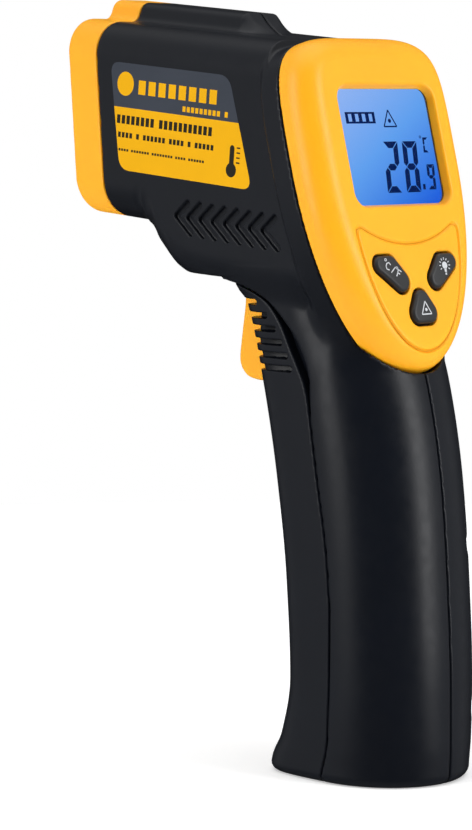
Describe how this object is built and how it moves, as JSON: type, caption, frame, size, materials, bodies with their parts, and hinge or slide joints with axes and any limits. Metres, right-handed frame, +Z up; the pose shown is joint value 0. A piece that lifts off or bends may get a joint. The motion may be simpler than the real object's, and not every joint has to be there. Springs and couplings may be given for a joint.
{
  "type": "infrared thermometer",
  "caption": "Pistol-grip infrared thermometer: tilted colour display and keys behind, lens and laser in the nose, finger trigger, hinged battery door forming the front of the grip.",
  "frame": {"origin": "on the ground, under the middle of the object's box", "axes": "+Z up along the grip; +Y forward, where the lens points; -Y towards the user and the display; +X to the user's right"},
  "size_m": [0.0444, 0.0932, 0.1577],
  "materials": {
    "charcoal": "satin, lightly textured",
    "yellow": "satin",
    "key_rubber": "matt",
    "sticker": "printed film, satin",
    "clear": "clear, polished",
    "lcd": "blue backlit display",
    "milky": "milky light guide",
    "circuit_board": "solder resist",
    "black_part": "matt",
    "foam": "open foam",
    "red_wire": "soft insulation",
    "battery_jacket": "plain jacket, satin",
    "steel": "turned",
    "brass": "turned",
    "lens": "dark infrared lens, polished"
  },
  "bodies": {
    "handset": {"housing_left": "charcoal", "housing_right": "charcoal", "side_label_left": "sticker", "side_label_right": "sticker", "screw_grip_low": "steel", "screw_grip_high": "steel", "screw_neck": "steel", "screw_barrel_rear": "steel", "screw_barrel_front": "steel", "door_pin": "steel", "nose_cap": "yellow", "ir_lens": "lens", "sensor_tube": "black_part", "thermopile": "steel", "sensor_board": "circuit_board", "laser_module": "brass", "laser_window": "clear", "display_bezel": "yellow", "display_window": "clear", "lcd_panel": "lcd", "backlight_guide": "milky", "lcd_frame": "black_part", "main_board": "circuit_board", "controller_chip": "black_part", "board_screw_left": "steel", "board_screw_right": "steel", "unit_switch": "black_part", "backlight_switch": "black_part", "laser_switch": "black_part", "trigger_pin": "steel", "trigger_spring": "steel", "trigger_switch": "black_part", "switch_board": "circuit_board", "battery": "battery_jacket", "battery_snap": "black_part", "lead_red": "red_wire", "lead_black": "black_part"},
    "door": {"battery_door": "charcoal", "door_foam": "foam"},
    "trigger_lever": {"trigger": "yellow"},
    "unit_key": {"unit_button": "key_rubber"},
    "backlight_key": {"backlight_button": "key_rubber"},
    "laser_key": {"laser_button": "key_rubber"}
  },
  "joints": [
    {"name": "trigger_pivot", "type": "hinge", "parent": "handset", "child": "trigger_lever", "pos_m": [0, -0.0012, 0.1036], "axis": [-1, 0, 0], "range_deg": [0, 7], "stiffness_Nm_per_rad": 0.3, "springref_deg": -2.86, "deforming": ["trigger_spring"]},
    {"name": "door_hinge", "type": "hinge", "parent": "handset", "child": "door", "pos_m": [0, -0.0159, 0.0035], "axis": [-1, 0, 0], "range_deg": [0, 55]},
    {"name": "unit_press", "type": "slide", "parent": "handset", "child": "unit_key", "axis": [0, 0.9681, -0.2504], "range_m": [0, 0.0008], "stiffness_N_per_m": 1500, "springref_m": -0.0004},
    {"name": "backlight_press", "type": "slide", "parent": "handset", "child": "backlight_key", "axis": [0, 0.9681, -0.2504], "range_m": [0, 0.0008], "stiffness_N_per_m": 1500, "springref_m": -0.0004},
    {"name": "laser_press", "type": "slide", "parent": "handset", "child": "laser_key", "axis": [0, 0.9681, -0.2504], "range_m": [0, 0.0008], "stiffness_N_per_m": 1500, "springref_m": -0.0004}
  ]
}
